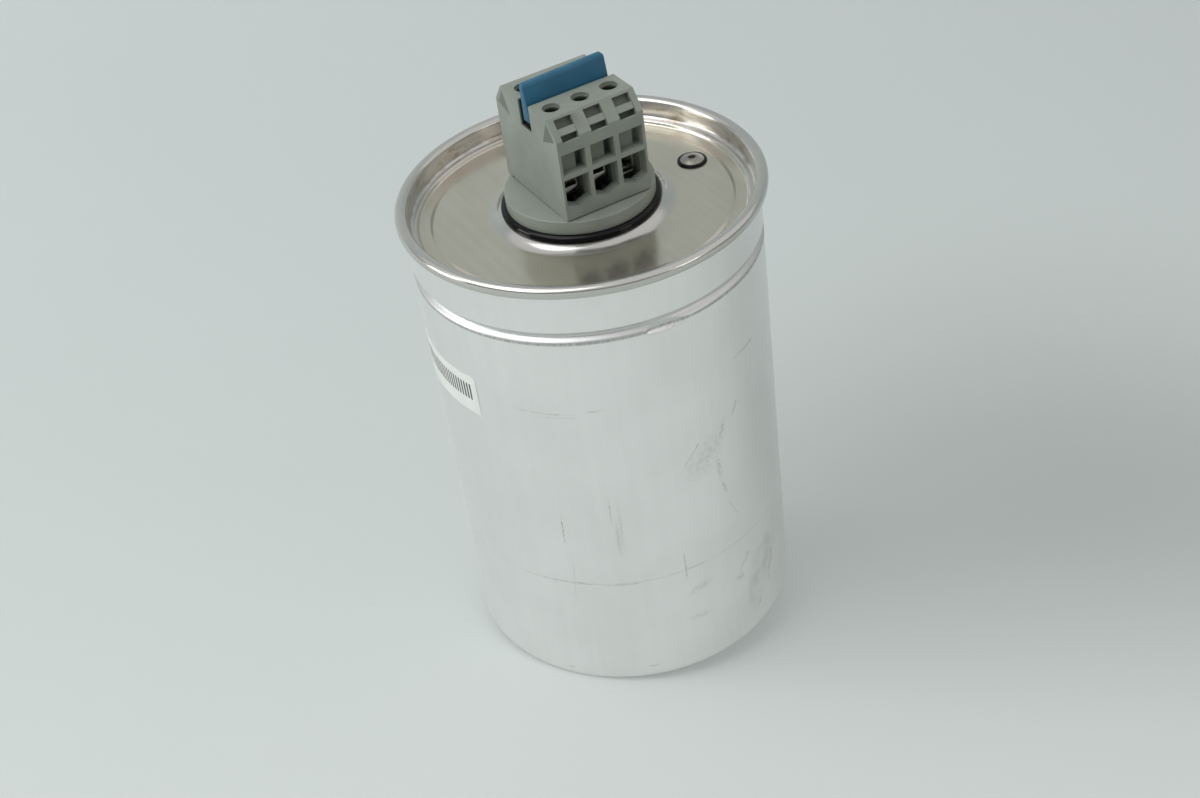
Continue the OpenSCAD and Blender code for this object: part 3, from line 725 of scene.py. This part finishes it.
class Shop:
    """Shared ways to turn bmesh work into finished pieces."""

    SHARP = math.radians(38.0)
    ROUNDED = math.radians(25.0)
    FLAT = math.radians(1.0)
    WELD = 1e-7
    CAD_WELD = 2e-6
    NO_LENGTH = 1e-8

    @staticmethod
    def outward(bm: BMesh) -> None:
        """Turn all faces of a mesh outward."""
        bmesh.ops.recalc_face_normals(bm, faces=bm.faces[:])

    @staticmethod
    def cut(bm: BMesh, place: Triple, normal: Triple, weld: float, clear: bool = False) -> list:
        """Cut a mesh at a plane, clear its outer side if asked, and return what lies in the cut."""
        geom = bm.verts[:] + bm.edges[:] + bm.faces[:]
        return bmesh.ops.bisect_plane(bm, geom=geom, dist=weld, plane_co=place, plane_no=normal,
                                      clear_outer=clear)["geom_cut"]

    @staticmethod
    def rounded(bm: BMesh, geom: list, width: float, segments: int, affect: str) -> None:
        """Round some vertices or edges of a mesh."""
        bmesh.ops.bevel(bm, geom=geom, offset=width, offset_type="OFFSET", affect=affect, segments=segments,
                        profile=0.5, material=-1, clamp_overlap=True, loop_slide=True)

    @staticmethod
    def chained(bm: BMesh, points: Iterable[Sequence[float]]) -> list[bmesh.types.BMVert]:
        """Add points to a mesh with an edge from each to the next."""
        verts = [bm.verts.new(point) for point in points]
        for pair in zip(verts, verts[1:]):
            bm.edges.new(pair)
        return verts

    @staticmethod
    def drawn_in(vert: bmesh.types.BMVert, limit: float) -> None:
        """Bring a vertex in to a distance from Z, in millimetres, if it lies further out."""
        x, y, _ = vert.co / MM
        reach = math.hypot(x, y)
        if reach > limit:
            vert.co.x *= limit / reach
            vert.co.y *= limit / reach

    @classmethod
    def spun(cls, corners: Profile, steps: int) -> BMesh:
        """Turn an open profile round Z.

        Args:
            corners: The profile in millimetres, from one end to the other.
            steps: Faces round the full turn.

        Returns:
            The turned mesh in metres.
        """
        bm = bmesh.new()
        verts = cls.chained(bm, [(c.r * MM, 0.0, c.z * MM) for c in corners])
        for vert, corner in zip(verts, corners):
            if corner.round_r > 0:
                cls.rounded(bm, [vert], corner.round_r * MM, corner.segments, "VERTICES")
        bmesh.ops.spin(bm, geom=bm.verts[:] + bm.edges[:], cent=(0, 0, 0), axis=(0, 0, 1), angle=math.tau,
                       steps=steps, use_merge=True)
        bmesh.ops.remove_doubles(bm, verts=bm.verts[:], dist=cls.WELD)
        bmesh.ops.dissolve_degenerate(bm, dist=cls.NO_LENGTH, edges=bm.edges[:])
        cls.outward(bm)
        return bm

    @classmethod
    def softened(cls, node: str, width: float, segments: int = 2) -> BMesh:
        """Copy a CAD node and round its edges.

        Args:
            node: Name of the CAD node.
            width: Width of the rounding in millimetres.
            segments: Faces across the rounding.

        Returns:
            The copy in metres.
        """
        bm = bmesh.new()
        bm.from_mesh(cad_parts[node].data)
        bmesh.ops.remove_doubles(bm, verts=bm.verts[:], dist=cls.CAD_WELD)
        bmesh.ops.dissolve_limit(bm, angle_limit=cls.FLAT, use_dissolve_boundaries=False, verts=bm.verts[:],
                                 edges=bm.edges[:], delimit=set())
        cls.outward(bm)
        sharp = [e for e in bm.edges if e.is_manifold and e.calc_face_angle(0.0) > cls.ROUNDED]
        cls.rounded(bm, sharp, width * MM, segments, "EDGES")
        return bm

    @staticmethod
    def shown(name: str, bm: BMesh, material: Material) -> Object:
        """Put a smooth object in the scene and free the mesh that it is made of."""
        for face in bm.faces:
            face.smooth = True
        mesh = bpy.data.meshes.new(name)
        bm.to_mesh(mesh)
        bm.free()
        mesh.materials.append(material)
        return placed(name, mesh)

    @classmethod
    def piece(cls, name: str, bm: BMesh, material: Material, slot: Slot,
              stands_for: Iterable[str] = ()) -> Object:
        """Make a piece of a mesh and set it in the frame.

        Args:
            name: Name of the piece.
            bm: Its mesh, which is freed.
            material: Its material.
            slot: The record's slot that it would take its finish from; not used.
            stands_for: CAD nodes that it stands for.

        Returns:
            The new object.
        """
        for edge in bm.edges:
            edge.smooth = edge.calc_face_angle(0.0) < cls.SHARP
        made = cls.shown(name, bm, material)
        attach(made, BODY)
        nodes = list(stands_for)
        if nodes:
            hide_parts(*nodes)
        LOG.info("%s: %d faces", name, len(made.data.polygons))
        return made


@dataclass
class Can:
    """Drawn can with its rolled groove, and the threaded stud under it."""

    radius: float = 68.0
    edge_r: float = 3.0
    row_z: tuple[float, ...] = (30.0, 60.0, 90.0, 120.0, 150.0, 168.0, 171.6)
    groove_z: float = 177.3
    groove_w: float = 5.4
    groove_depth: float = 1.8
    groove_steps: int = 28
    top_z: float = 197.9
    wall: float = 0.9
    fill_z: float = 183.7
    steps: int = 288
    stud_r: float = 6.0
    stud_len: float = 16.0
    stud_tip: float = 1.2
    stud_in: float = 0.5
    pitch: float = 1.75
    thread_depth: float = 1.0
    flank: Pair = (0.125, 0.4375)
    thread_steps: int = 40
    spare_turns: int = 2
    thread_weld: float = 1e-6
    dent_angles: Pair = (-12.6, 2.4)
    dent_crease: float = 2.0
    dent_fade: float = 7.0
    dent_z: float = 172.7
    dent_row: float = 0.32
    dent_rows: int = 6
    dent_rise: float = 1.7
    dent_depth: float = 1.35
    inside: float = 0.1
    finish: Finish = DrawnAluminium("drawn_aluminium", marks=CAN_MARKS)

    def profile(self) -> Profile:
        """Return the can's section, from the axis at the base to the axis inside."""
        rows = [*self.row_z, *(self.dent_z + self.dent_row * i for i in range(self.dent_rows))]
        groove = []
        for i in range(self.groove_steps + 1):
            t = i / self.groove_steps
            depth = self.groove_depth * (1 - math.cos(math.tau * t)) / 2
            groove.append(Corner(self.radius - depth, self.groove_z + self.groove_w * (t - 0.5)))
        inner = self.radius - self.wall
        return (
            Corner(0.0, 0.0), Corner(self.stud_r, 0.0), Corner(self.radius - self.edge_r * 2, 0.0),
            Corner(self.radius, 0.0, self.edge_r, 8), *(Corner(self.radius, z) for z in rows), *groove,
            Corner(self.radius, self.top_z), Corner(inner, self.top_z),
            Corner(inner, self.fill_z), Corner(0.0, self.fill_z),
        )

    def body(self) -> BMesh:
        """Return the can with the dent in the groove's lower lip."""
        bm = Shop.spun(self.profile(), self.steps)
        first, last = self.dent_angles
        for vert in bm.verts:
            x, y, z = vert.co / MM
            within = math.hypot(x, y) < self.radius - self.groove_depth - self.inside
            if within or not self.dent_z < z < self.groove_z:
                continue
            angle = math.degrees(math.atan2(x, -y))
            share = min(1.0, max(0.0, (angle - first) / self.dent_crease))
            share *= min(1.0, max(0.0, (last - angle) / self.dent_fade))
            share *= 0.5 - 0.5 * math.cos(math.pi * min(1.0, (z - self.dent_z) / self.dent_rise))
            Shop.drawn_in(vert, self.radius - self.dent_depth * share)
        return bm

    def thread(self) -> BMesh:
        """Return the stud with its thread cut at the base and chamfered at its tip."""
        bm = bmesh.new()
        root = self.stud_r - self.thread_depth
        low = -self.stud_len - self.spare_turns * self.pitch
        start, crest = self.flank
        tooth = ((root, 0.0), (root, start), (self.stud_r, crest),
                 (self.stud_r, 1 - crest), (root, 1 - start), (root, 1.0))
        Shop.chained(bm, [(r * MM, 0.0, (low + t * self.pitch) * MM) for r, t in tooth])
        turns = math.ceil(self.stud_len / self.pitch) + 2 * self.spare_turns
        bmesh.ops.spin(bm, geom=bm.verts[:] + bm.edges[:], cent=(0, 0, 0), axis=(0, 0, 1),
                       dvec=(0, 0, self.pitch * MM / self.thread_steps), angle=math.tau * turns,
                       steps=turns * self.thread_steps)
        bmesh.ops.remove_doubles(bm, verts=bm.verts[:], dist=self.thread_weld)
        for height, normal in ((-self.stud_len, (0, 0, -1)), (self.stud_in, (0, 0, 1))):
            cut = Shop.cut(bm, (0, 0, height * MM), normal, Shop.WELD, True)
            loop = [e for e in cut if isinstance(e, bmesh.types.BMEdge)]
            bmesh.ops.holes_fill(bm, edges=loop)
        for vert in bm.verts:
            Shop.drawn_in(vert, self.stud_r - self.stud_tip + max(0.0, (vert.co / MM).z + self.stud_len))
        Shop.outward(bm)
        return bm

    def build(self) -> list[Object]:
        """Build the can and its stud."""
        material = self.finish.make()
        return [
            Shop.piece("can_shell", self.body(), material, Slot.CAN, ["can"]),
            Shop.piece("stud_thread", self.thread(), material, Slot.CAN, ["can"]),
        ]


@dataclass
class Lid:
    """Pressed lid, rolled over the can's flange: its upper side from the hole to the rolled end."""

    profile: Profile = outline(
        hole=(20.15, 193.0),
        collar=(31.0, 193.0, 1.6, 8),
        collar_foot=(34.2, 191.0, 2.0, 8),
        panel=(45.0, 191.0),
        step=(57.4, 191.0, 0.3, 3),
        step_foot=(58.6, 190.5, 0.3, 3),
        ledge_foot=(62.85, 190.5, 0.5, 4),
        ledge=(63.6, 192.0, 0.5, 4),
        wall_foot=(65.35, 192.0, 0.4, 4),
        wall=(66.25, 192.9, 0.6, 4),
        rim_inside=(66.25, 200.0, 1.9, 8),
        rim_outside=(71.0, 200.0, 1.9, 8),
        rim_under=(71.0, 195.4, 1.9, 8),
        rolled_end=(68.2, 195.4),
    )
    sheet: float = 0.8
    steps: int = 288
    finish: Finish = Tinplate("rolled_tinplate")

    def build(self) -> list[Object]:
        """Build the lid as a sheet with its thickness."""
        bm = Shop.spun(self.profile, self.steps)
        top = max(bm.faces, key=lambda f: f.calc_center_median().z)
        if top.normal.z < 0:
            bmesh.ops.reverse_faces(bm, faces=bm.faces[:])
        made = Shop.piece("lid_sheet", bm, self.finish.make(), Slot.LID, ["lid"])
        solid = made.modifiers.new("sheet", "SOLIDIFY")
        solid.thickness = self.sheet * MM
        solid.offset = -1.0
        solid.use_even_offset = True
        return [made]


@dataclass
class BaseAndSeal:
    """Round grey base on the lid's collar with the black seal ring round it."""

    base: Profile = outline(
        spigot_middle=(0.0, 190.4),
        spigot=(20.0, 190.4, 0.4, 3),
        spigot_root=(20.0, 193.0),
        foot=(28.7, 193.0, 0.2, 2),
        top=(28.7, 201.0, 0.5, 4),
        top_middle=(0.0, 201.0),
    )
    seal: Profile = outline(
        start=(28.75, 195.7),
        inner_foot=(28.75, 193.0),
        outer_foot=(30.9, 193.0, 0.2, 2),
        crown=(30.9, 195.7, 1.9, 10),
        end=(28.75, 195.7),
    )
    steps: int = 192
    plastic: Finish = MouldedPlastic("grey_base", roughness=0.3)
    rubber: Finish = BlackRubber("seal_rubber")

    def build(self) -> list[Object]:
        """Build the base and the seal."""
        base, seal = (Shop.spun(profile, self.steps) for profile in (self.base, self.seal))
        return [
            Shop.piece("round_base", base, self.plastic.make(), Slot.GREY, ["terminal_base"]),
            Shop.piece("seal_ring", seal, self.rubber.make(), Slot.RUBBER, ["base_seal"]),
        ]


@dataclass
class TerminalBlock:
    """Grey block with its clamps, screws, contact bars and the blue divider plate."""

    poles: tuple[str, ...] = ("left", "mid", "right")
    block_edge: float = 0.22
    plate_edge: float = 0.45
    plate_lean: float = 2.3
    plate_lean_z: float = 237.0
    plate_weld: float = 1e-6
    cage_edge: float = 0.4
    bar_edge: float = 0.25
    screw_edge: float = 0.15
    grey: Finish = HollowPlastic("grey_block")
    blue: Finish = MouldedPlastic("blue_plate", srgb(30, 97, 127), srgb(27, 89, 118), 0.34)
    metal: Finish = NickelPlate("nickel_plate")

    def plate(self) -> BMesh:
        """Return the divider plate, whose face leans back to a thin upper edge."""
        bm = Shop.softened("divider_plate", self.plate_edge, 3)
        low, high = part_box("divider_plate")
        start = self.plate_lean_z * MM
        Shop.cut(bm, (0, 0, start), (0, 0, 1), self.plate_weld)
        for vert in bm.verts:
            rise = max(0.0, (vert.co.z - start) / (high[2] - start))
            share = (high[1] - vert.co.y) / (high[1] - low[1])
            vert.co.y += self.plate_lean * MM * rise * share
        Shop.outward(bm)
        return bm

    def build(self) -> list[Object]:
        """Build the block and all that it holds."""
        metal = self.metal.make()

        def plated(name: str, node: str, edge: float, segments: int = 2) -> Object:
            """Return a softened CAD node as a piece of plated metal."""
            return Shop.piece(name, Shop.softened(node, edge, segments), metal, Slot.METAL, [node])

        block = Shop.softened("terminal_block", self.block_edge)
        made = [
            Shop.piece("block_moulding", block, self.grey.make(), Slot.GREY, ["terminal_block"]),
            Shop.piece("plate_moulding", self.plate(), self.blue.make(), Slot.BLUE, ["divider_plate"]),
            plated("screw_set", "clamp_screws", self.screw_edge),
        ]
        for pole in self.poles:
            for side in Side:
                cage = f"cage_{side.name.lower()}_{pole}"
                made.append(plated(f"{cage}_plated", cage, self.cage_edge, 3))
            bar = f"contact_bar_{pole}"
            made.append(plated(f"{bar}_plated", bar, self.bar_edge))
            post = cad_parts[f"feedthrough_{pole}"]
            post.data.materials.clear()
            post.data.materials.append(metal)
        return made


@dataclass
class FillRivet:
    """Rivet that closes the filling hole, on its black washer. Heights are from the lid's panel."""

    radius: float = 49.2
    angle: float = -1.5
    panel_z: float = 191.0
    rivet: Profile = outline(
        tail_middle=(0.0, -1.8),
        tail=(3.2, -1.8, 0.3, 3),
        tail_root=(3.2, -0.8),
        shank_foot=(2.0, -0.8),
        shank_top=(2.0, 0.8),
        head=(4.8, 0.8, 0.15, 2),
        top=(2.9, 1.8, 0.4, 4),
        hole=(1.5, 1.8, 0.2, 3),
        hole_foot=(1.5, 0.2),
        hole_middle=(0.0, 0.2),
    )
    washer: Profile = outline(
        start=(2.1, 0.8),
        inner_foot=(2.1, 0.0),
        outer_foot=(5.9, 0.0),
        edge=(5.9, 0.8, 0.5, 4),
        end=(2.1, 0.8),
    )
    steps: int = 64
    metal: Finish = NickelPlate("rivet_metal", srgb(166, 165, 158), srgb(138, 136, 129), 0.3)
    rubber: Finish = BlackRubber("washer_rubber")

    def build(self) -> list[Object]:
        """Build the rivet and its washer."""
        turn = math.radians(self.angle)
        place = Vector((self.radius * math.cos(turn), self.radius * math.sin(turn), self.panel_z)) * MM
        made = []
        for name, profile, finish, slot, node in (
            ("rivet_head", self.rivet, self.metal, Slot.METAL, "fill_rivet"),
            ("rivet_washer", self.washer, self.rubber, Slot.RUBBER, "rivet_seal"),
        ):
            bm = Shop.spun(profile, self.steps)
            bmesh.ops.translate(bm, verts=bm.verts[:], vec=place)
            made.append(Shop.piece(name, bm, finish.make(), slot, [node]))
        return made


@dataclass
class Label:
    """Thin film stuck round the can's left side."""

    can_r: float = 68.0
    lift: float = 0.03
    film: float = 0.09
    right_angle: float = -72.3
    length: float = 45.0
    low_z: float = 133.1
    height: float = 17.5
    corner_r: float = 1.0
    corner_steps: int = 4
    slice_w: float = 1.0
    slice_weld: float = 1e-5
    finish: Finish = StripedFilm("label_film")

    def build(self) -> list[Object]:
        """Build the label flat in millimetres, then wrap it round the can."""
        bm = bmesh.new()
        size = Matrix.Diagonal((self.length, self.height, 1.0, 1.0))
        bmesh.ops.create_grid(bm, x_segments=1, y_segments=1, size=0.5, matrix=size)
        Shop.rounded(bm, bm.verts[:], self.corner_r, self.corner_steps, "VERTICES")
        top = bmesh.ops.extrude_face_region(bm, geom=bm.faces[:])
        raised = [v for v in top["geom"] if isinstance(v, bmesh.types.BMVert)]
        bmesh.ops.translate(bm, verts=raised, vec=(0, 0, self.film))
        slices = int(self.length / self.slice_w)
        for i in range(1, slices):
            at = (i / slices - 0.5) * self.length
            Shop.cut(bm, (at, 0, 0), (1, 0, 0), self.slice_weld)
        Shop.outward(bm)
        flat = bm.loops.layers.uv.new(FLAT_MAP)
        for face in bm.faces:
            for loop in face.loops:
                loop[flat].uv = (loop.vert.co.x + self.length / 2, loop.vert.co.y + self.height / 2)
        for vert in bm.verts:
            x, y, z = vert.co
            angle = math.radians(self.right_angle) - (self.length / 2 - x) / self.can_r
            r = self.can_r + self.lift + z
            height = self.low_z + self.height / 2 + y
            vert.co = Vector((r * math.sin(angle), -r * math.cos(angle), height)) * MM
        return [Shop.piece("label_film", bm, self.finish.make(), Slot.CAN)]


@dataclass(frozen=True)
class Lamp:
    """A soft box: its place in the room, width and height in metres, power in watts and colour."""

    name: str
    place: Triple
    size: Pair
    power: float
    colour: Triple = WHITE


@dataclass
class Studio:
    """Camera, floor and lights. The floor is set as the can leans on it, on its stud and its base edge."""

    eye: Vector = field(default_factory=lambda: Vector((-245.25, -504.62, 529.77)))
    ahead: Vector = field(default_factory=lambda: Vector((0.34067, 0.71469, -0.61087)))
    up: Vector = field(default_factory=lambda: Vector((0.0, 0.0, 1.0)))
    roll: float = -0.147
    lens: float = 51.296
    sensor: float = 36.0
    clip: Pair = (0.01, 50.0)
    lean: float = 14.8
    lean_to_left: float = 27.0
    tip_r: float = 4.8
    tip_z: float = -16.0
    floor_w: float = 6.0
    floor_near: float = 3.0
    bend_at: float = 0.12
    bend_r: float = 0.7
    bend_angle: float = 80.0
    bend_steps: int = 32
    wall_len: float = 1.5
    sky_levels: Pair = (0.06, 0.71)
    sky_rise: Pair = (0.0, 0.6)
    sky_right: float = 0.1
    right_tint: Rgba = (1.0, 0.9, 0.76, 1.0)
    far_tone: Rgba = srgb(192, 200, 199)
    aim: Triple = (0.0, 0.0, 0.1)
    lamps: tuple[Lamp, ...] = (
        Lamp("key_left", (-0.92, -0.77, 1.34), (1.6, 1.5), 15.0),
        Lamp("low_left", (-1.74, -0.18, 0.44), (0.6, 0.6), 6.5),
        Lamp("small_right", (1.19, -0.93, 0.58), (0.45, 0.25), 1.3, (1.0, 0.97, 0.92)),
    )

    def camera(self) -> None:
        """Make the scene's camera."""
        data = bpy.data.cameras.new("view")
        data.sensor_fit = "HORIZONTAL"
        data.sensor_width = self.sensor
        data.lens = self.lens
        data.clip_start, data.clip_end = self.clip
        ahead = self.ahead.normalized()
        right = ahead.cross(self.up).normalized()
        up = right.cross(ahead)
        turn_right = right * math.cos(self.roll) + up * math.sin(self.roll)
        turn_up = up * math.cos(self.roll) - right * math.sin(self.roll)
        turn = Matrix((turn_right, turn_up, -ahead)).transposed().to_4x4()
        bpy.context.scene.camera = placed("view", data, Matrix.Translation(self.eye * MM) @ turn)

    def room(self) -> Matrix:
        """Return the room's frame: X to the camera's right, Y away from it, Z up from the floor."""
        towards = Vector((-self.ahead.x, -self.ahead.y, 0.0)).normalized()
        left = self.up.cross(self.ahead).normalized()
        side = math.radians(self.lean_to_left)
        low = towards * math.cos(side) + left * math.sin(side)
        lean = math.radians(self.lean)
        up = self.up * math.cos(lean) - low * math.sin(lean)
        away = (self.ahead - up * self.ahead.dot(up)).normalized()
        right = away.cross(up)
        rest = (low * self.tip_r + self.up * self.tip_z) * MM
        return Matrix.Translation(rest) @ Matrix((right, away, up)).transposed().to_4x4()

    def floor(self) -> None:
        """Make the pale floor, which bends up behind the object."""
        bm = bmesh.new()
        path = [Vector((0.0, -self.floor_near, 0.0)), Vector((0.0, self.bend_at, 0.0))]
        for i in range(1, self.bend_steps + 1):
            turn = math.radians(self.bend_angle) * i / self.bend_steps
            run, rise = self.bend_r * math.sin(turn), self.bend_r * (1 - math.cos(turn))
            path.append(Vector((0.0, self.bend_at + run, rise)))
        path.append(path[-1] + (path[-1] - path[-2]).normalized() * self.wall_len)
        Shop.chained(bm, [p - Vector((self.floor_w / 2, 0.0, 0.0)) for p in path])
        swept = bmesh.ops.extrude_edge_only(bm, edges=bm.edges[:])
        moved = [v for v in swept["geom"] if isinstance(v, bmesh.types.BMVert)]
        bmesh.ops.translate(bm, verts=moved, vec=(self.floor_w, 0.0, 0.0))
        Shop.outward(bm)
        if min(bm.faces, key=lambda f: f.calc_center_median().z).normal.z < 0:
            bmesh.ops.reverse_faces(bm, faces=bm.faces[:])
        bmesh.ops.transform(bm, matrix=self.room(), verts=bm.verts[:])
        made = Shop.shown("pale_floor", bm, PaleSweep("pale_sweep", self.room()).make())

    def light(self, lamp: Lamp) -> None:
        """Hang a soft box in the room and point it at the object."""
        data = bpy.data.lights.new(lamp.name, "AREA")
        data.shape = "RECTANGLE"
        data.size, data.size_y = lamp.size
        data.energy = lamp.power
        data.color = lamp.colour
        start, end = (self.room() @ Vector(point) for point in (lamp.place, self.aim))
        turn = (end - start).to_track_quat("-Z", "Y").to_matrix().to_4x4()
        placed(lamp.name, data, Matrix.Translation(start) @ turn)

    def sky(self) -> None:
        """Set the plain surroundings, brighter above and warmer at the right, and pale behind the floor."""
        world = bpy.data.worlds.new("pale_room")
        world.use_nodes = True
        graph = Graph(world.node_tree)
        ways = self.room().to_3x3().col
        way = graph.node("ShaderNodeTexCoord").outputs["Generated"]
        reach, rise = (graph.vector("DOT_PRODUCT", way, ways[i], "Value") for i in (0, 2))
        above = graph.find("BACKGROUND")
        graph.feed(above.inputs["Color"], (*WHITE, 1.0))
        graph.feed(above.inputs["Strength"], graph.remap(rise, self.sky_rise, self.sky_levels))
        warm = graph.times(graph.most(reach, 0.0), self.sky_right)
        beside = graph.node("ShaderNodeBackground", {"Color": self.right_tint, "Strength": warm}).outputs[0]
        both = graph.node("ShaderNodeAddShader", {0: above.outputs[0], 1: beside}).outputs[0]
        plain = graph.node("ShaderNodeBackground", {"Color": self.far_tone, "Strength": 1.0}).outputs[0]
        seen = graph.node("ShaderNodeLightPath").outputs["Is Camera Ray"]
        graph.feed(graph.find("OUTPUT_WORLD").inputs["Surface"], graph.either(seen, both, plain))
        bpy.context.scene.world = world

    def build(self) -> None:
        """Set up the whole studio."""
        self.camera()
        self.floor()
        self.sky()
        for lamp in self.lamps:
            self.light(lamp)
        bpy.context.scene.view_settings.view_transform = "Standard"


def main() -> None:
    """Build the object and the studio round it."""
    logging.basicConfig(level=logging.INFO, format="%(name)s %(message)s")
    Studio().build()
    for part in (Can(), Lid(), BaseAndSeal(), TerminalBlock(), FillRivet(), Label()):
        pieces = part.build()
        LOG.info("%s: %s", type(part).__name__, ", ".join(p.name for p in pieces))


if __name__ == "__main__":
    main()
